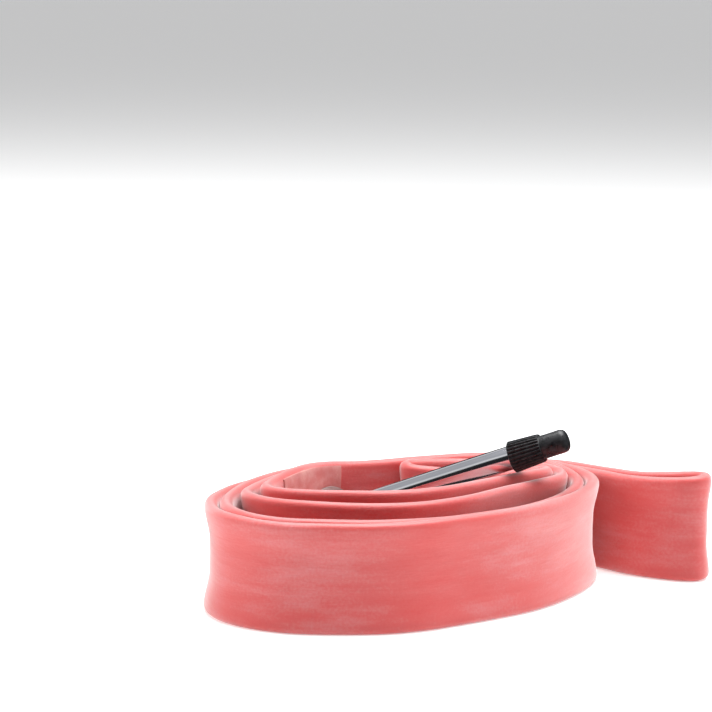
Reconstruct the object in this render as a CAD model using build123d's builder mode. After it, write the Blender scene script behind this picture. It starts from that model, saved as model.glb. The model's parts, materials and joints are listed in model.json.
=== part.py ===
from build123d import *
from math import radians, tan
import os

# A bicycle inner tube, flattened, doubled and wound up, standing on its edge as it comes from its packet.
# Millimetres, +Z up, +X to the right, the origin under the middle of the coil, on the table.
# The latex tube is one closed ring. It is pressed flat into a strap, folded double and wound two and a
# half turns anticlockwise from the loop that sticks out on the right. The valve stands on the inner wall.

# The flattened tube, across its section
strap_height = 26.0
edge_thickness = 3.2
waist_thickness = 1.8
latex_wall = 0.6
edge_roll = 2.4
edge_taper = 3.8
foot_width = 1.4

# How much of each run of the route its arcs may take
arc_share = 0.45

# The valve, along its own axis from the middle of its seat on the inner wall
seat_height = 15.0
stem_lean = 20.7
stem_swing = -13.6
stem_diameter = 6.0
stem_length = 51.2
stem_air_bore = 2.6
stem_chamfer = 0.4
foot_diameter = 13.0
foot_neck_diameter = 8.2
foot_length = 9.0
socket_start = 5.0
ring_diameter = 16.0
ring_thickness = 1.0
patch_thickness = 0.8
patch_length = 30.0
patch_height = 13.2
patch_corner = 3.0
air_hole = 2.0

# The removable core, up and down from the top of the stem
core_thread_diameter = 4.4
core_thread_length = 7.0
core_nose_diameter = 3.6
core_nose_length = 5.0
gasket_height = 1.6
gasket_drop = 1.0
flats_diameter = 5.6
flats_width = 5.0
flats_height = 2.4
cap_thread_diameter = 5.2
cap_thread_length = 4.2
pin_diameter = 1.6
pin_proud = 0.9
plunger_diameter = 3.0
plunger_height = 1.0
seal_height = 1.2
nut_diameter = 4.4
nut_height = 3.2
nut_grooves = 12
nut_groove_depth = 0.25
pin_travel = 1.5

# The dust cap
cap_length = 15.0
cap_overlap = 0.6
cap_skirt_length = 8.2
cap_skirt_diameter = 8.0
cap_shoulder_diameter = 7.2
cap_nose_diameter = 5.9
cap_nose_round = 1.6
cap_mouth_depth = 1.6
cap_top_wall = 2.0
cap_ribs = 26
rib_depth = 0.35

# Fits
running_gap = 0.05
face_gap = 0.05
clear_gap = 0.3

os.makedirs("parts", exist_ok=True)

# ---------------------------------------------------------------------------------------------
# The route of the strap, seen from above, about the eye of the coil
# ---------------------------------------------------------------------------------------------
# The doubled strap is an outer strand and an inner one. Each station is a point of the outer strand
# and the gap from there to the inner strand, from the free loop inwards, anticlockwise.
STATIONS = [
    # the free loop and its neck
    (61.9, 28.9, 9.4), (47.0, 32.4, 7.6), (38.3, 39.2, 4.6), (26.0, 50.6, 3.8),
    # round the back and the left, outermost
    (9.0, 53.0, 3.7), (-10.0, 46.6, 3.7), (-27.0, 40.0, 3.7), (-42.5, 33.2, 3.7),
    (-52.0, 20.5, 3.7), (-58.6, 4.5, 3.7), (-62.5, -13.0, 3.8), (-60.0, -29.0, 3.8),
    # the front wall
    (-48.0, -39.8, 4.4), (-33.0, -42.2, 4.8), (-15.0, -39.6, 4.2), (2.0, -27.0, 3.8),
    (17.0, -14.0, 3.8), (27.8, 2.5, 3.8),
    # the right bend and the second run along the back
    (34.0, 20.0, 4.0), (31.2, 32.8, 3.9), (20.0, 42.4, 3.7), (5.0, 43.2, 3.7),
    (-10.0, 37.7, 3.8), (-26.0, 31.2, 3.8), (-38.4, 25.4, 3.7), (-45.8, 13.5, 3.7),
    (-51.8, 1.0, 3.9), (-54.3, -11.0, 5.0),
    # the inner front runs, which stand apart
    (-47.5, -21.0, 8.0), (-34.0, -26.6, 10.0), (-18.0, -27.0, 10.6), (-3.0, -18.5, 9.0),
    (8.0, -4.5, 6.6), (17.0, 8.5, 5.4),
    # the inner right bend and the short run, whose near strand bellies out before the inner fold
    (25.4, 19.5, 4.4), (23.4, 31.0, 4.0), (12.0, 35.6, 14.0), (-1.0, 33.2, 15.0), (-9.5, 30.1, 8.0),
]
INNER_FOLD = [(-15.2, 27.6), (-13.6, 23.1)]
SEAT_STATION = 24


def inner_strand(stations):
    """The inner strand's points: each station moved to the left of the way the strap runs."""
    points = []
    last = len(stations) - 1
    for index, (x, y, gap) in enumerate(stations):
        before = Vector(*stations[max(index - 1, 0)][:2])
        after = Vector(*stations[min(index + 1, last)][:2])
        to_inside = (after - before).normalized().rotate(Axis.Z, 90)
        points.append(Vector(x, y) + to_inside * gap)
    return points


def corner_radii(points):
    """The radius that each corner of a closed route has room for."""
    radii = []
    for index, corner in enumerate(points):
        run_in = corner - points[index - 1]
        run_out = points[(index + 1) % len(points)] - corner
        half_turn = radians(run_in.get_angle(run_out)) / 2
        shorter_run = min(run_in.length, run_out.length)
        radii.append(arc_share * shorter_run / tan(half_turn))
    return radii


outer_points = [Vector(x, y) for x, y, gap in STATIONS]
inner_points = inner_strand(STATIONS)
fold_points = [Vector(*point) for point in INNER_FOLD]
drawn_points = outer_points + fold_points + inner_points[::-1]
route_radii = corner_radii(drawn_points)

# The frame's origin is the middle of the box round the whole coil
with BuildLine() as drawn_route:
    FilletPolyline(*drawn_points, radius=route_radii, close=True)
drawn_middle = drawn_route.line.bounding_box().center()
route_points = [point - Vector(drawn_middle.X, drawn_middle.Y) for point in drawn_points]
with BuildLine() as route:
    FilletPolyline(*route_points, radius=route_radii, close=True)
route_wire = route.wires()[0]
print(f"tube length {route_wire.length:.1f} mm, tightest bend {min(route_radii):.2f} mm")
print(f"the route as drawn is moved by {-drawn_middle.X:.3f}, {-drawn_middle.Y:.3f}")

# ---------------------------------------------------------------------------------------------
# The tube: one hollow ring of latex, pressed flat, with two rolled edges and a waist between them
# ---------------------------------------------------------------------------------------------
half_edge = edge_thickness / 2
half_waist = waist_thickness / 2
half_foot = foot_width / 2
waist_low = edge_roll + edge_taper
waist_high = strap_height - waist_low
roll_side = half_edge - (half_edge - half_foot) / 4
roll_low = edge_roll / 3
pocket = half_edge - latex_wall
slit = half_waist - latex_wall


def upright(line_start, line_run):
    """The plane across a strap that starts at a point and runs along a level direction."""
    return Plane(origin=line_start, x_dir=Vector(0, 0, 1).cross(line_run), z_dir=line_run)


with BuildPart() as tube_body:
    with BuildSketch(upright(route_wire @ 0, route_wire % 0)):
        with BuildLine():
            Line((0, 0), (half_foot, 0))
            ThreePointArc((half_foot, 0), (roll_side, roll_low), (half_edge, edge_roll))
            Line((half_edge, edge_roll), (half_waist, waist_low))
            Line((half_waist, waist_low), (half_waist, waist_high))
            Line((half_waist, waist_high), (half_edge, strap_height - edge_roll))
            ThreePointArc(
                (half_edge, strap_height - edge_roll), (roll_side, strap_height - roll_low),
                (half_foot, strap_height),
            )
            Line((half_foot, strap_height), (0, strap_height))
            mirror(about=Plane.YZ)
        make_face()
        with BuildLine():
            Polyline(
                (-pocket, edge_roll), (pocket, edge_roll), (slit, waist_low), (slit, waist_high),
                (pocket, strap_height - edge_roll), (-pocket, strap_height - edge_roll),
                (-slit, waist_high), (-slit, waist_low), close=True,
            )
        make_face(mode=Mode.SUBTRACT)
    sweep(path=route_wire)

# ---------------------------------------------------------------------------------------------
# The valve's seat, on the inner face of the inner strand, at one corner of its route
# ---------------------------------------------------------------------------------------------
seat_index = len(route_points) - 1 - SEAT_STATION
seat_corner = route_points[seat_index]
seat_run_in = (route_points[seat_index - 1] + seat_corner) / 2
seat_run_out = (route_points[seat_index + 1] + seat_corner) / 2
with BuildLine() as seat_line:
    FilletPolyline(seat_run_in, seat_corner, seat_run_out, radius=route_radii[seat_index])
seat_wire = seat_line.wires()[0]
# the route runs clockwise here, so the coil's eye is on its right
seat_run = seat_wire % 0.5
to_eye = seat_run.cross(Vector(0, 0, 1))
seat_point = (seat_wire @ 0.5) + to_eye * half_waist + Vector(0, 0, seat_height)
seat_plane = Plane(origin=seat_point, x_dir=seat_run, z_dir=to_eye)

# The stretch of wall on both sides of the seat, as far as the middles of the runs beyond the next corners
wall_corners = route_points[seat_index - 1:seat_index + 2]
wall_start = (route_points[seat_index - 2] + wall_corners[0]) / 2
wall_end = (route_points[seat_index + 2] + wall_corners[-1]) / 2
wall_radii = route_radii[seat_index - 1:seat_index + 2]
with BuildLine() as wall_line:
    FilletPolyline(wall_start, *wall_corners, wall_end, radius=wall_radii)
wall_wire = wall_line.wires()[0]

# Across the valve, and the half plane that its round pieces are turned in
stem_direction = Vector(1, 0, 0).rotate(Axis.Y, -stem_lean).rotate(Axis.Z, stem_swing)
stem_plane = Plane(origin=seat_point, z_dir=stem_direction)
turning_plane = Plane(origin=seat_point, x_dir=stem_plane.x_dir, z_dir=-stem_plane.y_dir)
stem_axis = Axis(seat_point, stem_direction)


def wall_band(near, far, low, high):
    """A band that follows the wall by the seat, between two distances from the strap's middle."""
    with BuildPart() as band:
        with BuildSketch(upright(wall_wire @ 0, wall_wire % 0)) as section:
            with Locations((-(near + far) / 2, (low + high) / 2)):
                Rectangle(far - near, high - low)
        sweep(section.sketch, path=wall_wire)
    return band.part


def turn(*outline):
    """Turn a closed outline of points, each a radius and a distance along the valve."""
    with BuildSketch(turning_plane) as section:
        with BuildLine():
            Polyline(*outline, close=True)
        make_face()
    revolve(section.sketch, axis=stem_axis)


def loft_foot(mode=Mode.ADD):
    """Loft the moulded foot, from a circle behind the patch to a circle across the stem."""
    with BuildSketch(seat_plane.offset(-patch_thickness)) as seat_circle:
        Circle(foot_diameter / 2)
    with BuildSketch(stem_plane.offset(foot_length)) as neck_circle:
        Circle(foot_neck_diameter / 2)
    loft([seat_circle.sketch, neck_circle.sketch], mode=mode)


# The patch of latex that backs the valve, glued to the wall over its whole face
patch_face = half_waist + patch_thickness
patch_low = (strap_height - patch_height) / 2
patch_band = wall_band(half_waist, patch_face, patch_low, patch_low + patch_height)
patch_rise = strap_height / 2 - seat_height
under_patch = wall_band(-half_edge, patch_face, 0, strap_height)

with tube_body:
    with BuildSketch(seat_plane.offset(clear_gap)):
        Circle(air_hole / 2)
    extrude(amount=-(clear_gap + latex_wall + slit), mode=Mode.SUBTRACT)
tube_body.part.label = "tube_body"
export_step(tube_body.part, "parts/tube_body.step")

with BuildPart() as valve_patch:
    add(patch_band)
    with BuildSketch(seat_plane) as patch_outline:
        with Locations(seat_plane.to_local_coords(seat_point + Vector(0, 0, patch_rise))):
            RectangleRounded(patch_length, patch_height, patch_corner)
        Circle(air_hole / 2, mode=Mode.SUBTRACT)
    extrude(amount=patch_length / 2, both=True, mode=Mode.INTERSECT)
valve_patch.part.label = "valve_patch"
export_step(valve_patch.part, "parts/valve_patch.step")

# The moulded rubber foot, which turns from the wall to the stem's own direction
with BuildPart() as valve_foot:
    loft_foot()
    add(under_patch, mode=Mode.SUBTRACT)
    with BuildSketch(stem_plane.offset(socket_start)):
        Circle(stem_diameter / 2)
    extrude(amount=foot_length, mode=Mode.SUBTRACT)
    with BuildSketch(stem_plane):
        Circle(air_hole / 2)
    extrude(amount=foot_length, mode=Mode.SUBTRACT)
valve_foot.part.label = "valve_foot"
export_step(valve_foot.part, "parts/valve_foot.step")

# The hard ring round the foot, pressed down on the patch
with BuildPart() as base_ring:
    with BuildSketch(seat_plane):
        Circle(ring_diameter / 2)
    extrude(amount=patch_thickness + ring_thickness)
    add(under_patch, mode=Mode.SUBTRACT)
    loft_foot(mode=Mode.SUBTRACT)
base_ring.part.label = "base_ring"
export_step(base_ring.part, "parts/base_ring.step")

# ---------------------------------------------------------------------------------------------
# The stem: a smooth plated barrel, bored wide at the top for the core and narrow below for the air
# ---------------------------------------------------------------------------------------------
stem_radius = stem_diameter / 2
air_radius = stem_air_bore / 2
core_bottom = stem_length - core_thread_length - core_nose_length
plunger_top = core_bottom - face_gap - seal_height
plunger_bottom = plunger_top - plunger_height
wide_bore_end = plunger_bottom - pin_travel - clear_gap
wide_radius = core_thread_diameter / 2 + running_gap
with BuildPart() as valve_stem:
    turn(
        (air_radius, socket_start), (stem_radius, socket_start),
        (stem_radius, stem_length - stem_chamfer), (stem_radius - stem_chamfer, stem_length),
        (wide_radius, stem_length), (wide_radius, wide_bore_end),
        (air_radius, wide_bore_end - (wide_radius - air_radius)),
    )
valve_stem.part.label = "valve_stem"
export_step(valve_stem.part, "parts/valve_stem.step")

# ---------------------------------------------------------------------------------------------
# The removable core: nose, thread, spanner flats and the thread that takes the cap
# ---------------------------------------------------------------------------------------------
pin_radius = pin_diameter / 2
pin_bore = pin_radius + running_gap
nose_radius = core_nose_diameter / 2
core_radius = core_thread_diameter / 2
flats_radius = flats_diameter / 2
cap_thread_radius = cap_thread_diameter / 2
thread_end = stem_length - core_thread_length
shoulder = stem_length + face_gap
flats_end = shoulder + flats_height
core_top = flats_end + cap_thread_length
with BuildPart() as core_body:
    turn(
        (pin_bore, core_bottom), (nose_radius, core_bottom), (nose_radius, thread_end),
        (core_radius, thread_end), (core_radius, shoulder), (flats_radius, shoulder),
        (flats_radius, flats_end), (cap_thread_radius, flats_end), (cap_thread_radius, core_top),
        (pin_bore, core_top),
    )
    with BuildSketch(stem_plane.offset(shoulder)):
        Circle(flats_diameter)
        Rectangle(flats_width, 3 * flats_diameter, mode=Mode.SUBTRACT)
    extrude(amount=flats_height, mode=Mode.SUBTRACT)
core_body.part.label = "core_body"
export_step(core_body.part, "parts/core_body.step")

# The sealing ring on the core's nose
gasket_top = thread_end - gasket_drop
gasket_low = gasket_top - gasket_height
with BuildPart() as core_gasket:
    turn(
        (nose_radius, gasket_low), (core_radius, gasket_low),
        (core_radius, gasket_top), (nose_radius, gasket_top),
    )
core_gasket.part.label = "core_gasket"
export_step(core_gasket.part, "parts/core_gasket.step")

# The pin that opens the valve, with its plunger below the core
plunger_radius = plunger_diameter / 2
nut_low = core_top + face_gap
nut_top = nut_low + nut_height
pin_top = nut_top + pin_proud
with BuildPart() as core_pin:
    turn(
        (0, plunger_bottom), (plunger_radius, plunger_bottom), (plunger_radius, plunger_top),
        (pin_radius, plunger_top), (pin_radius, pin_top - pin_radius / 2),
        (pin_radius / 2, pin_top), (0, pin_top),
    )
core_pin.part.label = "core_pin"
export_step(core_pin.part, "parts/core_pin.step")

# The rubber disc that the plunger holds up against the core
with BuildPart() as pin_seal:
    turn(
        (pin_radius, plunger_top), (plunger_radius, plunger_top),
        (plunger_radius, plunger_top + seal_height), (pin_radius, plunger_top + seal_height),
    )
pin_seal.part.label = "pin_seal"
export_step(pin_seal.part, "parts/pin_seal.step")

# The grooved nut that locks the pin
nut_radius = nut_diameter / 2
nut_bevel = nut_groove_depth
with BuildPart() as lock_nut:
    turn(
        (pin_bore, nut_low), (nut_radius - nut_bevel, nut_low), (nut_radius, nut_low + nut_bevel),
        (nut_radius, nut_top - nut_bevel), (nut_radius - nut_bevel, nut_top), (pin_bore, nut_top),
    )
    with BuildSketch(stem_plane.offset(nut_low)):
        with PolarLocations(nut_radius + nut_groove_depth, nut_grooves):
            Circle(2 * nut_groove_depth)
    extrude(amount=nut_height, mode=Mode.SUBTRACT)
lock_nut.part.label = "lock_nut"
export_step(lock_nut.part, "parts/lock_nut.step")

# ---------------------------------------------------------------------------------------------
# The dust cap: a ribbed skirt, a shoulder and a round nose, hollow for the top of the core
# ---------------------------------------------------------------------------------------------
cap_start = stem_length - cap_overlap
cap_end = cap_start + cap_length
skirt_end = cap_start + cap_skirt_length
mouth_end = cap_start + cap_mouth_depth
cavity_end = cap_end - cap_top_wall
skirt_radius = cap_skirt_diameter / 2
shoulder_radius = cap_shoulder_diameter / 2
cap_nose_radius = cap_nose_diameter / 2
mouth_hole = stem_radius + clear_gap
flats_hole = flats_radius + clear_gap
flats_room = flats_end + clear_gap
thread_hole = cap_thread_radius + running_gap
thread_room = core_top + clear_gap
nut_hole = nut_radius + clear_gap
with BuildPart() as dust_cap:
    turn(
        (mouth_hole, cap_start), (skirt_radius, cap_start), (shoulder_radius, skirt_end),
        (cap_nose_radius, skirt_end), (cap_nose_radius, cap_end), (0, cap_end), (0, cavity_end),
        (nut_hole, cavity_end), (nut_hole, thread_room), (thread_hole, thread_room),
        (thread_hole, flats_room), (flats_hole, flats_room), (flats_hole, mouth_end),
        (mouth_hole, mouth_end),
    )
    cap_rims = dust_cap.edges().filter_by(GeomType.CIRCLE).sort_by(stem_axis)
    fillet(cap_rims[-1], cap_nose_round)
    with BuildSketch(stem_plane.offset(cap_start - clear_gap)):
        with PolarLocations(skirt_radius, cap_ribs):
            Circle(rib_depth)
    extrude(amount=cap_skirt_length - clear_gap, mode=Mode.SUBTRACT)
dust_cap.part.label = "dust_cap"
export_step(dust_cap.part, "parts/dust_cap.step")

print("seat", seat_point, "to eye", to_eye, "stem direction", stem_direction)
print(f"stem top {stem_length:.2f}, core top {core_top:.2f}, pin top {pin_top:.2f}, cap end {cap_end:.2f}")
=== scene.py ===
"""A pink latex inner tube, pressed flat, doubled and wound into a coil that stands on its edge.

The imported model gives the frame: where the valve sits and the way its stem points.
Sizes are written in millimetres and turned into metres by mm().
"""
from __future__ import annotations

import json
import logging
import math
from dataclasses import dataclass
from enum import Enum
from typing import Any, Sequence

import bpy
from mathutils import Euler, Matrix, Vector, noise

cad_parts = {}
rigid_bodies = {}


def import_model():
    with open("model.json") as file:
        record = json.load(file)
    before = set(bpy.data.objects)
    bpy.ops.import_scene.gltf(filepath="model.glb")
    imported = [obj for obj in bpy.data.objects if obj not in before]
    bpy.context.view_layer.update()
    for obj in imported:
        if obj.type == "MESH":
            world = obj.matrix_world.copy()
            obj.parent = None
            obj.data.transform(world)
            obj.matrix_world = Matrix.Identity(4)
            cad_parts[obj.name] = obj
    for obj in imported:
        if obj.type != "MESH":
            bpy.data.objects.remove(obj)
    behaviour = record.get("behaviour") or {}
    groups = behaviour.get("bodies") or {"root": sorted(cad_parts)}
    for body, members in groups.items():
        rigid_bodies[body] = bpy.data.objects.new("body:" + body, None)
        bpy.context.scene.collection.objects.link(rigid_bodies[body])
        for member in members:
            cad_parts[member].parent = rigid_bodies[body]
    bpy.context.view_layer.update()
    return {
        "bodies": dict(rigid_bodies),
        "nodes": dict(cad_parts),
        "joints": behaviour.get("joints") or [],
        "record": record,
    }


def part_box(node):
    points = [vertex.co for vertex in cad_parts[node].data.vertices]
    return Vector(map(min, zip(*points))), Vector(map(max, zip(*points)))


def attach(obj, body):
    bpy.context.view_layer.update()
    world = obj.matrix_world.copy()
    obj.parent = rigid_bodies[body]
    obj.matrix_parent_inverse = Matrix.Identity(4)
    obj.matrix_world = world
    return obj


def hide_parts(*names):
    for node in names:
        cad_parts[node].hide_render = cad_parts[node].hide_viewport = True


LOG = logging.getLogger("inner_tube")
Colour = tuple[float, float, float, float]
Outline = Sequence[tuple[float, float]]


class Body(Enum):
    """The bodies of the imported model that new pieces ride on."""

    TUBE = "tube"
    CAP = "cap"


def mm(length: float) -> float:
    """Turn millimetres into metres."""
    return length / 1000.0


def smooth_step(value: float) -> float:
    """Ease a value from 0 to 1, level at both ends."""
    value = min(max(value, 0.0), 1.0)
    return value * value * (3.0 - 2.0 * value)


def linear(hex_colour: str) -> Colour:
    """Turn an sRGB hex colour into linear light.

    Args:
        hex_colour: Six hex digits after a hash sign.

    Returns:
        Red, green, blue and an alpha of 1.
    """
    channels = []
    for start in (1, 3, 5):
        value = int(hex_colour[start:start + 2], 16) / 255.0
        channels.append(value / 12.92 if value <= 0.04045 else ((value + 0.055) / 1.055) ** 2.4)
    return (channels[0], channels[1], channels[2], 1.0)


def add_node(
    tree: bpy.types.NodeTree, kind: str, inputs: dict[Any, Any] | None = None, **settings: Any
) -> bpy.types.Node:
    """Add a node with its settings, values and links.

    Args:
        tree: The node tree it goes in.
        kind: The node's type name, without the "ShaderNode" at its start.
        inputs: Input name or number to a value, or to the output socket that feeds it.
        **settings: The node's own properties.

    Returns:
        The new node.
    """
    node = tree.nodes.new("ShaderNode" + kind)
    for key, value in settings.items():
        setattr(node, key, value)
    for key, value in (inputs or {}).items():
        if isinstance(value, bpy.types.NodeSocket):
            tree.links.new(value, node.inputs[key])
        else:
            node.inputs[key].default_value = value
    return node


def set_ramp(node: bpy.types.Node, stops: Sequence[tuple[float, Colour]]) -> None:
    """Give a colour ramp its stops.

    Args:
        node: The colour ramp.
        stops: Positions and colours, from the lowest up.
    """
    elements = node.color_ramp.elements
    while len(elements) < len(stops):
        elements.new(1.0)
    for element, (position, colour) in zip(elements, stops):
        element.position = position
        element.color = colour


# ------------------------------------------------------------------------------------------------
# Finishes
# ------------------------------------------------------------------------------------------------


@dataclass(frozen=True)
class DustedLatex:
    """Dipped pink latex under a film of talc: soft, a little see-through, paler where powder clings."""

    clean: str = "#D64542"
    usual: str = "#D85654"
    dusted: str = "#DA7A7A"
    roughness: float = 0.46
    streak_length: float = 26.0
    streak_height: float = 2.6
    cloud_length: float = 34.0
    cloud_height: float = 11.0
    powder_grain: float = 0.7
    streak_share: float = 0.26
    cloud_share: float = 0.56
    powder_share: float = 0.20
    crease_length: float = 9.0
    depth: float = 2.0

    def make(self, name: str = "dusted_latex") -> bpy.types.Material:
        """Make the material, on the strap's own UV map in centimetres along and up the strap.

        Args:
            name: The material's name.

        Returns:
            The material.
        """
        material = bpy.data.materials.new(name)
        material.use_nodes = True
        tree = material.node_tree
        shader = tree.nodes["Principled BSDF"]
        place = add_node(tree, "UVMap", uv_map="strap")

        def pattern(length: float, height: float, detail: float, shift: float) -> bpy.types.NodeSocket:
            """Noise with lumps of a length and a height in millimetres on the strap."""
            stretch = add_node(tree, "Mapping", {
                "Vector": place.outputs["UV"],
                "Location": (shift, shift, 0.0),
                "Scale": (10.0 / length, 10.0 / height, 1.0),
            })
            lumps = add_node(tree, "TexNoise", {
                "Vector": stretch.outputs["Vector"], "Scale": 1.0, "Detail": detail, "Roughness": 0.6,
            })
            return lumps.outputs["Fac"]

        streaks = pattern(self.streak_length, self.streak_height, 4.0, 0.0)
        clouds = pattern(self.cloud_length, self.cloud_height, 3.0, 7.0)
        powder = pattern(self.powder_grain, self.powder_grain, 2.0, 3.0)
        creases = pattern(self.crease_length, self.crease_length / 5.0, 5.0, 11.0)

        mixed = add_node(tree, "Math", {0: streaks, 1: self.streak_share}, operation="MULTIPLY")
        for layer, share in ((clouds, self.cloud_share), (powder, self.powder_share)):
            addends = {0: layer, 1: share, 2: mixed.outputs[0]}
            mixed = add_node(tree, "Math", addends, operation="MULTIPLY_ADD")
        colours = add_node(tree, "ValToRGB", {"Fac": mixed.outputs[0]})
        set_ramp(colours, [
            (0.34, linear(self.clean)), (0.50, linear(self.usual)), (0.66, linear(self.dusted)),
        ])
        tree.links.new(colours.outputs["Color"], shader.inputs["Base Color"])

        dull = add_node(tree, "MapRange", {
            "Value": mixed.outputs[0], "From Min": 0.38, "From Max": 0.7,
            "To Min": self.roughness - 0.08, "To Max": self.roughness + 0.16,
        })
        tree.links.new(dull.outputs["Result"], shader.inputs["Roughness"])

        waves = add_node(tree, "Bump", {"Height": creases, "Strength": 0.35, "Distance": mm(0.5)})
        grain = add_node(tree, "Bump", {
            "Height": powder, "Strength": 0.22, "Distance": mm(0.08), "Normal": waves.outputs["Normal"],
        })
        tree.links.new(grain.outputs["Normal"], shader.inputs["Normal"])
        shader.inputs["Subsurface Weight"].default_value = 0.14
        shader.inputs["Subsurface Radius"].default_value = (1.0, 0.3, 0.22)
        shader.inputs["Subsurface Scale"].default_value = mm(self.depth)
        shader.inputs["Specular IOR Level"].default_value = 0.7
        shader.inputs["Sheen Weight"].default_value = 1.0
        shader.inputs["Sheen Roughness"].default_value = 0.46
        return material


@dataclass(frozen=True)
class GrainySurface:
    """A moulded, plated or turned surface: one colour clouded by another, over a fine grain."""

    name: str
    colour: str
    cloud_colour: str
    roughness: float
    metallic: float = 0.0
    cloud_size: float = 6.0
    grain_size: float = 0.3
    grain_depth: float = 0.02
    grain_strength: float = 0.3
    roughness_spread: float = 0.06

    def make(self) -> bpy.types.Material:
        """Make the material, on Object coordinates.

        Returns:
            The material.
        """
        material = bpy.data.materials.new(self.name)
        material.use_nodes = True
        tree = material.node_tree
        shader = tree.nodes["Principled BSDF"]
        place = add_node(tree, "TexCoord")
        clouds = add_node(tree, "TexNoise", {
            "Vector": place.outputs["Object"], "Scale": 1.0 / mm(self.cloud_size), "Detail": 4.0,
        })
        grain = add_node(tree, "TexNoise", {
            "Vector": place.outputs["Object"], "Scale": 1.0 / mm(self.grain_size), "Detail": 3.0,
        })
        colours = add_node(tree, "ValToRGB", {"Fac": clouds.outputs["Fac"]})
        set_ramp(colours, [(0.35, linear(self.colour)), (0.72, linear(self.cloud_colour))])
        dull = add_node(tree, "MapRange", {
            "Value": clouds.outputs["Fac"], "From Min": 0.3, "From Max": 0.7,
            "To Min": max(self.roughness - self.roughness_spread, 0.02),
            "To Max": self.roughness + self.roughness_spread,
        })
        bump = add_node(tree, "Bump", {
            "Height": grain.outputs["Fac"], "Strength": self.grain_strength,
            "Distance": mm(self.grain_depth),
        })
        tree.links.new(colours.outputs["Color"], shader.inputs["Base Color"])
        tree.links.new(dull.outputs["Result"], shader.inputs["Roughness"])
        tree.links.new(bump.outputs["Normal"], shader.inputs["Normal"])
        shader.inputs["Metallic"].default_value = self.metallic
        return material


# Polished chrome over brass: near white, mirror-like, with only the faintest cloudiness
CHROME = GrainySurface(
    "polished_chrome", "#E4E6EA", "#D6D8DC", 0.10, metallic=1.0, cloud_size=9.0, grain_size=0.5,
    grain_depth=0.004, grain_strength=0.15, roughness_spread=0.03,
)
# Nickel over turned brass: warmer and duller than the chrome
NICKEL = GrainySurface(
    "nickel_plated_brass", "#CFC8B6", "#B9B09A", 0.24, metallic=1.0, cloud_size=2.0, grain_size=0.2,
    grain_depth=0.006,
)
# Black nylon, moulded: a low shine, scuffed grey in places; the grain is drawn as coarse as it shows
NYLON = GrainySurface(
    "moulded_black_nylon", "#151618", "#2E2F32", 0.34, cloud_size=1.1, grain_size=0.3,
    grain_depth=0.07, grain_strength=0.7, roughness_spread=0.14,
)
# The talc-covered patch of latex that backs the valve: pale, chalky and mottled
TALC = GrainySurface(
    "talc_on_latex_patch", "#CF7E7B", "#DDA7A2", 0.7, cloud_size=3.4, grain_size=0.6,
    grain_depth=0.12, grain_strength=0.45,
)
# Pale grey rubber of the moulded base ring, cloudy with talc
BASE_RUBBER = GrainySurface(
    "pale_base_rubber", "#A9A19F", "#CBC5C2", 0.5, cloud_size=2.4, grain_size=0.4, grain_depth=0.05,
)
# Dark red moulded rubber of the valve's foot
FOOT_RUBBER = GrainySurface(
    "moulded_foot_rubber", "#8E2523", "#B04A46", 0.48, cloud_size=2.8, grain_size=0.4, grain_depth=0.05,
)
# Black sealing rubber, smooth and slightly oily
SEAL_RUBBER = GrainySurface(
    "seal_rubber", "#121212", "#232324", 0.38, cloud_size=1.2, grain_size=0.2, grain_depth=0.02,
)


# ------------------------------------------------------------------------------------------------
# Shaping helpers
# ------------------------------------------------------------------------------------------------


def deselect_all() -> None:
    """Leave nothing selected, so that an operator acts only on the next piece."""
    if bpy.context.object and bpy.context.object.mode != "OBJECT":
        bpy.ops.object.mode_set(mode="OBJECT")
    bpy.ops.object.select_all(action="DESELECT")


def pick(piece: bpy.types.Object) -> None:
    """Make one piece the only one selected, and the active one."""
    deselect_all()
    piece.select_set(True)
    bpy.context.view_layer.objects.active = piece


def dress(piece: bpy.types.Object, material: bpy.types.Material) -> None:
    """Give a piece one material all over, on its object's own slots."""
    if not piece.data.materials:
        piece.data.materials.append(material)
    for place in piece.material_slots:
        place.link = "OBJECT"
        place.material = material


def smooth_line(points: Sequence[Vector], steps: int) -> list[Vector]:
    """Sample the closed smooth line that a ring of control points draws.

    Args:
        points: The control points, in any unit.
        steps: Samples for each control point.

    Returns:
        The samples in order.
    """
    curve = bpy.data.curves.new("guide", "CURVE")
    curve.dimensions = "3D"
    curve.resolution_u = steps
    spline = curve.splines.new("NURBS")
    spline.points.add(len(points) - 1)
    for spline_point, point in zip(spline.points, points):
        spline_point.co = (point.x, point.y, point.z, 1.0)
    spline.use_cyclic_u = True
    spline.order_u = 3
    guide = bpy.data.objects.new("guide", curve)
    mesh = bpy.data.meshes.new_from_object(guide)
    samples = [vertex.co.copy() for vertex in mesh.vertices]
    bpy.data.objects.remove(guide)
    bpy.data.curves.remove(curve)
    bpy.data.meshes.remove(mesh)
    return samples


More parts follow.
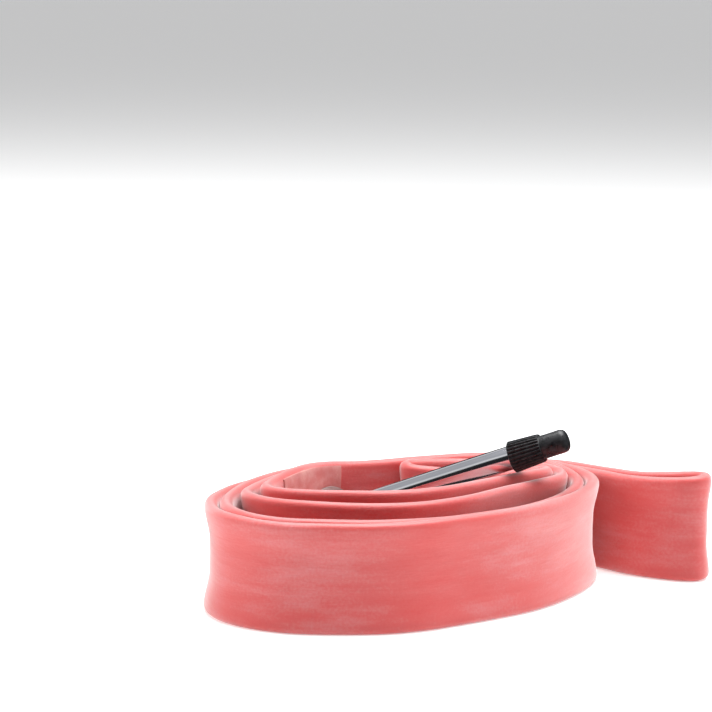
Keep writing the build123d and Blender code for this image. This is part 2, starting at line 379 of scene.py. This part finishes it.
def lathe(name: str, outline: Outline, steps: int = 96) -> bpy.types.Object:
    """Turn an outline about +Z, as on a lathe.

    Args:
        name: The new piece's name.
        outline: Radius and height of each corner in millimetres, closed or ending on the axis.
        steps: How many facets go round.

    Returns:
        The turned piece, a closed mesh with outward faces.
    """
    deselect_all()
    bpy.ops.mesh.primitive_plane_add(size=mm(1.0), location=(0.0, 0.0, 0.0))
    piece = bpy.context.object
    piece.name = name
    bpy.ops.object.mode_set(mode="EDIT")
    bpy.ops.mesh.select_all(action="SELECT")
    bpy.ops.mesh.merge(type="CENTER")
    corners = [Vector((mm(radius), 0.0, mm(height))) for radius, height in outline]
    if outline[0][0] > 0.0 or outline[-1][0] > 0.0:
        corners.append(corners[0])
    bpy.ops.transform.translate(value=corners[0])
    for before, after in zip(corners, corners[1:]):
        bpy.ops.mesh.extrude_region_move(TRANSFORM_OT_translate={"value": after - before})
    bpy.ops.mesh.select_all(action="SELECT")
    bpy.ops.mesh.spin(steps=steps, angle=math.tau, center=(0.0, 0.0, 0.0), axis=(0.0, 0.0, 1.0))
    bpy.ops.mesh.select_all(action="SELECT")
    bpy.ops.mesh.remove_doubles(threshold=mm(0.004))
    bpy.ops.mesh.normals_make_consistent(inside=False)
    bpy.ops.object.mode_set(mode="OBJECT")
    bpy.ops.object.shade_smooth_by_angle(angle=math.radians(32.0))
    return piece


def rounded_corner(corner: tuple[float, float], radius: float, start: float, end: float) -> Outline:
    """Points of a quarter round in an outline.

    Args:
        corner: Centre of the round, as radius and height.
        radius: Radius of the round.
        start: Angle of the first point in degrees, from the radius direction towards +Z.
        end: Angle of the last point in degrees.

    Returns:
        The points, from start to end.
    """
    count = 6
    points = []
    for index in range(count + 1):
        angle = math.radians(start + (end - start) * index / count)
        points.append((corner[0] + radius * math.cos(angle), corner[1] + radius * math.sin(angle)))
    return points


# ------------------------------------------------------------------------------------------------
# The latex tube
# ------------------------------------------------------------------------------------------------


@dataclass
class StrapStation:
    """A place on the doubled strap, in millimetres: the outer strand's point, and the crests there."""

    x: float
    y: float
    gap: float
    outer_crest: float
    inner_crest: float


# From the free loop inwards, anticlockwise; the crests rise towards the eye, where the coil stands up
STATIONS = [
    # the free loop and its neck
    StrapStation(62.2, 26.8, 9.4, 27.2, 27.2), StrapStation(47.0, 32.4, 7.6, 25.2, 25.4),
    StrapStation(38.3, 39.2, 4.6, 25.5, 25.5), StrapStation(26.0, 50.6, 3.8, 25.5, 25.5),
    # round the back and the left, outermost
    StrapStation(9.0, 53.0, 3.7, 25.0, 25.5), StrapStation(-10.0, 46.6, 3.7, 25.0, 25.8),
    StrapStation(-27.0, 40.0, 3.7, 25.0, 26.0), StrapStation(-42.5, 33.2, 3.7, 24.8, 26.4),
    StrapStation(-52.0, 20.5, 3.7, 25.2, 26.6), StrapStation(-58.6, 4.5, 3.7, 25.8, 26.8),
    StrapStation(-62.5, -13.0, 3.8, 26.6, 26.9), StrapStation(-60.0, -29.0, 3.8, 26.5, 26.4),
    # the front wall
    StrapStation(-48.0, -39.8, 4.4, 26.0, 26.0), StrapStation(-33.0, -42.2, 4.8, 26.0, 26.0),
    StrapStation(-15.0, -39.6, 4.2, 26.0, 26.0), StrapStation(2.0, -27.0, 3.8, 26.0, 25.2),
    StrapStation(17.0, -14.0, 3.8, 26.0, 25.0), StrapStation(27.2, 2.9, 3.8, 26.0, 25.0),
    # the right bend and the second run along the back
    StrapStation(33.2, 20.2, 4.0, 26.0, 25.5), StrapStation(31.2, 32.8, 3.9, 26.3, 26.3),
    StrapStation(20.0, 42.4, 3.7, 27.5, 28.5), StrapStation(5.0, 43.2, 3.7, 28.0, 29.0),
    StrapStation(-10.0, 37.7, 3.8, 28.0, 29.0), StrapStation(-26.0, 31.2, 3.8, 27.8, 28.4),
    StrapStation(-38.4, 25.4, 3.7, 28.0, 29.0), StrapStation(-45.8, 13.5, 3.7, 27.6, 29.7),
    StrapStation(-51.8, 1.0, 3.9, 27.4, 28.6), StrapStation(-54.3, -11.0, 5.0, 27.6, 29.0),
    # the inner front runs, which stand apart
    StrapStation(-47.5, -21.0, 8.0, 27.8, 29.0), StrapStation(-34.0, -26.6, 10.0, 28.0, 29.0),
    StrapStation(-18.0, -27.0, 10.6, 28.0, 29.0), StrapStation(-3.0, -18.5, 9.0, 28.0, 29.0),
    StrapStation(8.0, -4.5, 6.6, 28.0, 29.0), StrapStation(17.0, 8.5, 5.4, 27.7, 28.8),
    # the inner right bend and the short run, whose near strand bellies out before the inner fold
    StrapStation(25.4, 19.5, 4.4, 27.3, 28.4), StrapStation(23.4, 31.0, 4.0, 27.5, 28.0),
    StrapStation(12.0, 35.6, 14.0, 28.0, 27.6), StrapStation(-1.0, 33.2, 15.0, 28.3, 27.4),
    StrapStation(-9.5, 30.1, 8.0, 28.6, 28.0),
]
# Where the strap turns back on itself in the eye: x, y and the crest
INNER_FOLD = [Vector((-15.2, 27.6, 28.8)), Vector((-13.6, 23.1, 28.4))]
# The coil's middle, in the stations' own coordinates
COIL_MIDDLE = Vector((-0.396, 5.278, 0.0))


@dataclass
class StrapSample:
    """One cross-section of the strap, in metres."""

    centre: Vector
    across: Vector
    crest: float
    foot: float
    bow: float
    along: float


@dataclass
class LatexTube:
    """The tube, pressed into a strap with two rolled edges and a pinched waist, and wound up."""

    height: float = 26.0
    edge_half: float = 1.62
    waist_half: float = 0.85
    taper: float = 7.4
    bow: float = 0.75
    stretch: float = 1.0
    crest_wander: float = 0.28
    edge_wander: float = 0.09
    wander_length: float = 17.0
    steps: int = 13
    rim_points: int = 6
    taper_points: int = 8

    def control_points(self) -> tuple[list[Vector], list[Vector]]:
        """The ring of control points, and at each one the strap's bow to the left of its run.

        Returns:
            Points with the crest's height as z, and points that hold the bow as x.
        """
        outer, inner, bows = [], [], []
        last = len(STATIONS) - 1
        for index, here in enumerate(STATIONS):
            before = STATIONS[max(index - 1, 0)]
            after = STATIONS[min(index + 1, last)]
            run = Vector((after.x - before.x, after.y - before.y, 0.0)).normalized()
            inwards = Vector((-run.y, run.x, 0.0))
            outer.append(Vector((here.x, here.y, here.outer_crest)))
            inner.append(Vector((here.x, here.y, here.inner_crest)) + inwards * here.gap)
            # the bow dies out at both folds, where the strap's two strands meet
            bows.append(self.bow * smooth_step(min(index, last - index) / 3.0))
        inner_bows = [Vector((-bow, 0.0, 0.0)) for bow in bows]
        outer_bows = [Vector((bow, 0.0, 0.0)) for bow in bows]
        fold_bows = [Vector((0.0, 0.0, 0.0)) for _ in INNER_FOLD]
        points = inner[::-1] + outer + INNER_FOLD
        return [point - COIL_MIDDLE for point in points], inner_bows[::-1] + outer_bows + fold_bows

    def samples(self) -> list[StrapSample]:
        """Cut the smooth route into cross-sections.

        Returns:
            The cross-sections in order round the ring.
        """
        points, bows = self.control_points()
        line = smooth_line(points, self.steps)
        bow_line = smooth_line(bows, self.steps)
        made = []
        along = 0.0
        for index, point in enumerate(line):
            before, after = line[index - 1], line[(index + 1) % len(line)]
            run = Vector((after.x - before.x, after.y - before.y, 0.0)).normalized()
            wander = noise.noise(Vector((along / self.wander_length, 0.3, 0.7)))
            crest = point.z + self.crest_wander * wander
            foot = max(crest - self.height - self.stretch, 0.0)
            made.append(StrapSample(
                centre=Vector((mm(point.x), mm(point.y), 0.0)),
                across=Vector((-run.y, run.x, 0.0)),
                crest=mm(crest), foot=mm(foot), bow=mm(bow_line[index].x), along=along,
            ))
            along += Vector((after.x - point.x, after.y - point.y)).length
        return made

    def half_section(self) -> Outline:
        """One side of the section from its edge to its middle: depth from the edge, half thickness."""
        points = []
        for index in range(self.rim_points + 1):
            angle = math.radians(90.0) * index / self.rim_points
            points.append((self.edge_half * (1.0 - math.cos(angle)), self.edge_half * math.sin(angle)))
        for index in range(1, self.taper_points + 1):
            share = index / self.taper_points
            half = self.waist_half + (self.edge_half - self.waist_half) * (1.0 - smooth_step(share))
            points.append((self.edge_half + self.taper * share, half))
        return points

    def section(self, sample: StrapSample) -> list[Vector]:
        """The closed outline of the strap at one cross-section.

        Args:
            sample: The cross-section.

        Returns:
            Its points, up the left side from the foot and down the right side from the crest.
        """
        height = sample.crest - sample.foot
        wander = noise.noise(Vector((sample.along / self.wander_length, 5.1, 2.2)))
        swell = 1.0 + self.edge_wander * wander
        left = [(mm(depth), mm(half) * swell) for depth, half in self.half_section()]
        left += [(height / 2.0, mm(self.waist_half) * swell)]
        left += [(height - depth, half) for depth, half in left[-2::-1]]
        outline = left + [(up, -half) for up, half in left[-2:0:-1]]
        points = []
        for up, side in outline:
            sag = sample.bow * math.sin(math.pi * up / height)
            point = sample.centre + sample.across * (side + sag)
            point.z = sample.foot + up
            points.append(point)
        return points

    def build(self, samples: Sequence[StrapSample]) -> bpy.types.Object:
        """Skin the cross-sections into one closed ring, with a UV map in centimetres.

        Args:
            samples: The cross-sections.

        Returns:
            The tube.
        """
        rings = [self.section(sample) for sample in samples]
        count, around = len(rings), len(rings[0])
        vertices = [point for ring in rings for point in ring]
        faces, uvs = [], []
        total = samples[-1].along + (samples[0].centre - samples[-1].centre).length * 1000.0
        for row in range(count):
            following = (row + 1) % count
            start = samples[row].along / 10.0
            end = (samples[following].along if following else total) / 10.0
            for column in range(around):
                beside = (column + 1) % around
                corners = [(row, column, start), (row, beside, start), (following, beside, end),
                           (following, column, end)]
                faces.append([ring * around + place for ring, place, _ in corners])
                uvs += [(u, rings[ring][place].z * 100.0) for ring, place, u in corners]
        mesh = bpy.data.meshes.new("latex_tube")
        mesh.from_pydata(vertices, [], faces)
        layer = mesh.uv_layers.new(name="strap")
        for loop, place in zip(layer.data, uvs):
            loop.uv = place
        mesh.validate()
        tube = bpy.data.objects.new("latex_tube", mesh)
        bpy.context.collection.objects.link(tube)
        pick(tube)
        bpy.ops.object.mode_set(mode="EDIT")
        bpy.ops.mesh.select_all(action="SELECT")
        bpy.ops.mesh.normals_make_consistent(inside=False)
        bpy.ops.object.mode_set(mode="OBJECT")
        bpy.ops.object.shade_smooth()
        return tube


@dataclass
class SeatPatch:
    """The patch that backs the valve, glued to the inner face of the wall from edge to edge."""

    length: float = 27.0
    past_seat: float = 5.0
    stand_off: float = 0.15
    thickness: float = 0.55
    edge_margin: float = 0.9
    rows: int = 22
    lumpiness: float = 0.1
    lump_size: float = 3.5

    def build(self, tube: LatexTube, samples: Sequence[StrapSample], seat: Vector) -> bpy.types.Object:
        """Lay the patch over the wall by the valve's seat.

        Args:
            tube: The strap that it lies on.
            samples: The strap's cross-sections.
            seat: The middle of the valve's seat, in metres.

        Returns:
            The patch.
        """
        below_seat = Vector((seat.x, seat.y, 0.0))
        nearest = min(samples, key=lambda sample: (sample.centre - below_seat).length)
        far_end = nearest.along + self.past_seat
        chosen = [sample for sample in samples if 0.0 <= far_end - sample.along <= self.length]
        half_section = tube.half_section()
        vertices, faces = [], []
        for sample in chosen:
            height = (sample.crest - sample.foot) * 1000.0
            for row in range(self.rows + 1):
                up = self.edge_margin + (height - 2.0 * self.edge_margin) * row / self.rows
                depth = min(up, height - up)
                half = tube.waist_half
                for (low, low_half), (high, high_half) in zip(half_section, half_section[1:]):
                    if low <= depth <= high:
                        half = low_half + (high_half - low_half) * (depth - low) / max(high - low, 1e-6)
                lump = noise.noise(Vector((sample.along / self.lump_size, up / self.lump_size, 0.0)))
                half += self.stand_off + self.lumpiness * lump
                sag = sample.bow * math.sin(math.pi * up / height)
                point = sample.centre + sample.across * (sag - mm(half))
                point.z = sample.foot + mm(up)
                vertices.append(point)
        across = self.rows + 1
        for column in range(len(chosen) - 1):
            for row in range(self.rows):
                start = column * across + row
                faces.append([start, start + across, start + across + 1, start + 1])
        mesh = bpy.data.meshes.new("talc_patch")
        mesh.from_pydata(vertices, [], faces)
        patch = bpy.data.objects.new("talc_patch", mesh)
        bpy.context.collection.objects.link(patch)
        pick(patch)
        wall = patch.modifiers.new("thickness", "SOLIDIFY")
        wall.thickness = mm(self.thickness)
        wall.offset = 0.0
        edge = patch.modifiers.new("edge", "BEVEL")
        edge.width = mm(0.12)
        edge.segments = 2
        edge.limit_method = "ANGLE"
        edge.angle_limit = math.radians(50.0)
        bpy.ops.object.modifier_apply(modifier="thickness")
        bpy.ops.object.modifier_apply(modifier="edge")
        bpy.ops.object.shade_smooth_by_angle(angle=math.radians(40.0))
        return patch


# ------------------------------------------------------------------------------------------------
# The valve
# ------------------------------------------------------------------------------------------------


@dataclass
class ValvePlace:
    """Where the valve sits: its seat on the wall and the way its stem points."""

    seat: Vector
    direction: Vector

    @classmethod
    def from_frame(cls, frame: dict[str, Any], stem_start: float, stem_end: float) -> ValvePlace:
        """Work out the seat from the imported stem, which is a cylinder between two heights.

        Args:
            frame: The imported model.
            stem_start: Millimetres from the seat to the stem's lower end.
            stem_end: Millimetres from the seat to its upper end.

        Returns:
            The valve's place.
        """
        joint = next(joint for joint in frame["joints"] if joint["name"] == "core_unscrew")
        direction = Vector(joint["axis"]).normalized()
        low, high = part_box("valve_stem")
        middle = (low + high) / 2.0
        return cls(middle - direction * mm((stem_start + stem_end) / 2.0), direction)

    def put(self, piece: bpy.types.Object) -> None:
        """Carry a piece made about +Z to the valve, with its place in its mesh."""
        turn = Vector((0.0, 0.0, 1.0)).rotation_difference(self.direction).to_matrix().to_4x4()
        piece.matrix_world = Matrix.Translation(self.seat) @ turn
        pick(piece)
        bpy.ops.object.transform_apply(location=True, rotation=True, scale=True)


@dataclass
class ValveStem:
    """The plated stem, turned about the valve's axis."""

    radius: float = 3.0
    start: float = 5.0
    end: float = 51.2
    bore_radius: float = 2.25
    bore_depth: float = 16.6
    air_radius: float = 1.3
    drill_point: float = 0.95
    edge_round: float = 0.45

    def build(self) -> bpy.types.Object:
        """Turn the stem: a polished barrel with a rounded top edge, its bore and the air way below."""
        radius, top, low = self.radius, self.end, self.start
        floor = top - self.bore_depth
        outline = [(self.air_radius, low), (radius - 0.2, low), (radius, low + 0.2)]
        outline += [(radius, low + (top - low) * share / 8.0) for share in range(1, 8)]
        middle = (radius - self.edge_round, top - self.edge_round)
        outline += rounded_corner(middle, self.edge_round, 0.0, 90.0)
        outline += [(self.bore_radius + 0.2, top), (self.bore_radius, top - 0.2)]
        outline += [(self.bore_radius, floor), (self.air_radius, floor - self.drill_point)]
        return lathe("chrome_stem", outline, steps=128)


@dataclass
class DustCap:
    """The screw-on dust cap: a ribbed skirt that tapers to a shoulder, and a round nose."""

    start: float = 50.6
    length: float = 15.0
    skirt_length: float = 8.2
    skirt_radius: float = 4.0
    shoulder_radius: float = 3.6
    nose_radius: float = 2.95
    nose_round: float = 1.6
    mouth_radius: float = 3.3
    hole_radius: float = 2.65
    wall_top: float = 2.0
    ribs: int = 26
    rib_depth: float = 0.46
    groove_half: float = 0.6
    groove_flank: float = 0.24
    facets_per_rib: int = 8

    def build(self) -> bpy.types.Object:
        """Turn the cap, then press the grooves between its ribs.

        Returns:
            The cap, about +Z.
        """
        low, end = self.start, self.start + self.length
        skirt_end = low + self.skirt_length
        nose, skirt, shoulder = self.nose_radius, self.skirt_radius, self.shoulder_radius
        dome = (nose - self.nose_round, end - self.nose_round)
        # the mouth's rim and the ribbed skirt
        outline = [(self.mouth_radius, low), (skirt - 0.35, low), (skirt - 0.1, low + 0.15)]
        outline += [(skirt, low + 0.4), (skirt, low + 0.65)]
        outline += [(shoulder, skirt_end - 0.5), (shoulder - 0.05, skirt_end - 0.25)]
        outline += [(shoulder - 0.2, skirt_end), (nose + 0.1, skirt_end), (nose, skirt_end + 0.12)]
        # the round nose, then the hollow from its end back to the mouth
        outline += rounded_corner(dome, self.nose_round, 0.0, 90.0)
        outline += [(0.0, end), (0.0, end - self.wall_top), (2.5, end - self.wall_top)]
        outline += [(2.5, low + 7.6), (self.hole_radius, low + 7.4), (self.hole_radius, low + 3.4)]
        outline += [(3.1, low + 3.3), (3.1, low + 1.7), (self.mouth_radius, low + 1.6)]
        cap = lathe("nylon_cap", outline, steps=self.ribs * self.facets_per_rib)
        for vertex in cap.data.vertices:
            radius = math.hypot(vertex.co.x, vertex.co.y)
            up = vertex.co.z * 1000.0 - low
            if radius > mm(shoulder - 0.12) and 0.3 < up < self.skirt_length - 0.1:
                turn = math.atan2(vertex.co.y, vertex.co.x) / math.tau * self.ribs
                beside = abs(turn - round(turn)) * 2.0
                groove = mm(self.rib_depth) * smooth_step((self.groove_half - beside) / self.groove_flank)
                shrink = (radius - groove) / radius
                vertex.co.x *= shrink
                vertex.co.y *= shrink
        return cap


# ------------------------------------------------------------------------------------------------
# The studio
# ------------------------------------------------------------------------------------------------


@dataclass
class SoftBox:
    """One studio light: where it stands, what it looks at, its size and its power."""

    name: str
    place: tuple[float, float, float]
    width: float
    height: float
    power: float
    in_reflections: bool = True


@dataclass
class Studio:
    """A white sweep, soft lights and the camera."""

    camera_place: tuple[float, float, float] = (-27.2, -673.3, 152.9)
    camera_drop: float = 8.0
    camera_roll: float = 0.75
    focal_length: float = 141.0
    aim: tuple[float, float, float] = (0.0, 0.0, 0.02)
    room_strength: float = 0.16
    mirrored_strength: float = 0.9
    floor_glow: float = 0.4

    def boxes(self) -> list[SoftBox]:
        """The soft lights: one overhead and one at each side."""
        return [
            SoftBox("overhead", (0.1, 0.2, 1.1), 1.1, 0.8, 21.0),
            SoftBox("left", (-1.3, 0.05, 0.6), 0.9, 0.9, 12.5, in_reflections=False),
            SoftBox("right", (1.3, 0.0, 0.55), 0.9, 0.9, 8.5, in_reflections=False),
        ]

    def light(self) -> None:
        """Hang the lights, each turned to the object."""
        for box in self.boxes():
            lamp = bpy.data.lights.new(box.name, "AREA")
            lamp.shape = "RECTANGLE"
            lamp.size = box.width
            lamp.size_y = box.height
            lamp.energy = box.power
            holder = bpy.data.objects.new(box.name, lamp)
            holder.location = box.place
            gaze = Vector(self.aim) - Vector(box.place)
            holder.rotation_euler = gaze.to_track_quat("-Z", "Y").to_euler()
            holder.visible_glossy = box.in_reflections
            bpy.context.collection.objects.link(holder)

    def surround(self) -> None:
        """Light the room softly from above, and leave it dark low down, as behind a camera."""
        world = bpy.data.worlds.new("studio")
        world.use_nodes = True
        tree = world.node_tree
        place = add_node(tree, "TexCoord")
        parts = add_node(tree, "SeparateXYZ", {0: place.outputs["Generated"]})
        ramp = add_node(tree, "ValToRGB", {"Fac": parts.outputs["Z"]})
        set_ramp(ramp, [
            (0.0, linear("#262628")), (0.46, linear("#2C2C2E")), (0.58, linear("#FFFFFF")),
            (0.74, linear("#B4B4B8")), (1.0, linear("#D4D4D8")),
        ])
        ray = add_node(tree, "LightPath")
        light = tree.nodes["Background"]
        light.inputs["Color"].default_value = linear("#F4F5F7")
        light.inputs["Strength"].default_value = self.room_strength
        mirrored = add_node(tree, "Background", {
            "Color": ramp.outputs["Color"], "Strength": self.mirrored_strength,
        })
        seen = add_node(tree, "MixShader", {
            0: ray.outputs["Is Glossy Ray"], 1: light.outputs[0], 2: mirrored.outputs[0],
        })
        tree.links.new(seen.outputs["Shader"], tree.nodes["World Output"].inputs["Surface"])
        bpy.context.scene.world = world

    def floor(self) -> bpy.types.Object:
        """Lay the white floor, wide enough to fill the camera's view."""
        deselect_all()
        bpy.ops.mesh.primitive_plane_add(size=60.0, location=(0.0, 0.0, 0.0))
        floor = bpy.context.object
        floor.name = "studio_floor"
        material = bpy.data.materials.new("white_paper")
        material.use_nodes = True
        shader = material.node_tree.nodes["Principled BSDF"]
        shader.inputs["Base Color"].default_value = linear("#F7F7F7")
        shader.inputs["Roughness"].default_value = 0.9
        shader.inputs["Emission Color"].default_value = (1.0, 1.0, 1.0, 1.0)
        shader.inputs["Emission Strength"].default_value = self.floor_glow
        tree = material.node_tree
        ray = add_node(tree, "LightPath")
        card = add_node(tree, "Emission", {"Color": linear("#2E2E30"), "Strength": 1.0})
        seen = add_node(tree, "MixShader", {
            0: ray.outputs["Is Glossy Ray"], 1: shader.outputs["BSDF"], 2: card.outputs["Emission"],
        })
        tree.links.new(seen.outputs["Shader"], tree.nodes["Material Output"].inputs["Surface"])
        dress(floor, material)
        return floor

    def camera(self) -> None:
        """Set the camera at the viewing angle."""
        lens = bpy.data.cameras.new("camera")
        lens.lens = self.focal_length
        lens.sensor_width = 36.0
        lens.clip_start = 0.05
        lens.clip_end = 200.0
        holder = bpy.data.objects.new("camera", lens)
        holder.location = [mm(value) for value in self.camera_place]
        turn = Euler((math.radians(90.0 - self.camera_drop), 0.0, 0.0)).to_matrix()
        roll = Matrix.Rotation(math.radians(self.camera_roll), 3, "Z")
        holder.rotation_euler = (turn @ roll).to_euler()
        bpy.context.collection.objects.link(holder)
        bpy.context.scene.camera = holder

    def build(self) -> None:
        """Set up the floor, the lights and the camera."""
        self.floor()
        self.light()
        self.surround()
        self.camera()
        bpy.context.scene.view_settings.view_transform = "Standard"


def hand_over(
    piece: bpy.types.Object, body: Body, replaced: str | None, material: bpy.types.Material
) -> None:
    """Dress a finished piece and hand it to the frame.

    Args:
        piece: The finished piece.
        body: The body that it rides on.
        replaced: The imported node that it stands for, if any.
        material: Its finish.
    """
    dress(piece, material)
    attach(piece, body.value)
    if replaced:
        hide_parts(replaced)
    LOG.info("%s: %d faces on %s", piece.name, len(piece.data.polygons), body.value)


def main() -> None:
    """Build the inner tube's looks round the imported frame."""
    logging.basicConfig(level=logging.INFO, format="%(message)s")
    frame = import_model()

    latex = DustedLatex().make()
    nickel, seal = NICKEL.make(), SEAL_RUBBER.make()

    tube = LatexTube()
    samples = tube.samples()
    hand_over(tube.build(samples), Body.TUBE, "tube_body", latex)

    valve_stem = ValveStem()
    place = ValvePlace.from_frame(frame, valve_stem.start, valve_stem.end)
    patch = SeatPatch().build(tube, samples, place.seat)
    hand_over(patch, Body.TUBE, "valve_patch", TALC.make())

    stem = valve_stem.build()
    place.put(stem)
    hand_over(stem, Body.TUBE, "valve_stem", CHROME.make())
    cap = DustCap().build()
    place.put(cap)
    hand_over(cap, Body.CAP, "dust_cap", NYLON.make())

    dress(frame["nodes"]["valve_foot"], FOOT_RUBBER.make())
    dress(frame["nodes"]["base_ring"], BASE_RUBBER.make())
    for node in ("core_body", "core_pin", "lock_nut"):
        dress(frame["nodes"][node], nickel)
    for node in ("core_gasket", "pin_seal"):
        dress(frame["nodes"][node], seal)

    Studio().build()


if __name__ == "__main__":
    main()
